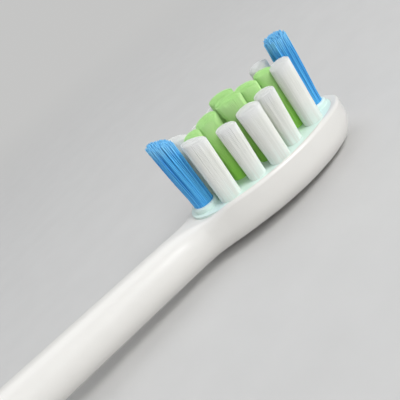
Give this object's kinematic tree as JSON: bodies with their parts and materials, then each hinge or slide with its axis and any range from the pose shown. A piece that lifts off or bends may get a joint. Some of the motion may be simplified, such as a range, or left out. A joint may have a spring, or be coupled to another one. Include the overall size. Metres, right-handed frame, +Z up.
{
  "type": "electric toothbrush head",
  "caption": "Click-on electric toothbrush head with a slim round neck, an oval tray of white, green and blue bristle tufts, and a drive socket in its flared base.",
  "frame": {"origin": "centre of the mouth of the drive socket, on the axis of the neck", "axes": "+X along the neck towards the toe of the head, +Y across the head, +Z up along the bristles"},
  "size_m": [0.0864, 0.014, 0.0219],
  "materials": {
    "body": "glossy white moulding",
    "platform": "pale aqua satin moulding",
    "white_bristle": "soft white filaments",
    "green_bristle": "translucent green filaments",
    "blue_bristle": "blue filaments",
    "anchor": "plain drawn strip",
    "socket": "plain moulded insert",
    "spring": "plain spring strip"
  },
  "bodies": {
    "root": {"brush_body": "body", "base_ring": "body", "tuft_platform": "platform", "heel_tuft_blue": "blue_bristle", "toe_tuft_blue": "blue_bristle", "white_tuft_near_1": "white_bristle", "white_tuft_near_2": "white_bristle", "white_tuft_near_3": "white_bristle", "white_tuft_near_4": "white_bristle", "white_tuft_near_5": "white_bristle", "white_tuft_far_1": "white_bristle", "white_tuft_far_2": "white_bristle", "white_tuft_far_3": "white_bristle", "white_tuft_far_4": "white_bristle", "white_tuft_far_5": "white_bristle", "green_tuft_1": "green_bristle", "green_tuft_2": "green_bristle", "green_tuft_3": "green_bristle", "green_tuft_4": "green_bristle", "green_tuft_5": "green_bristle", "green_tuft_6": "green_bristle", "tuft_anchors": "anchor", "shaft_socket": "socket", "grip_spring": "spring"}
  },
  "joints": []
}
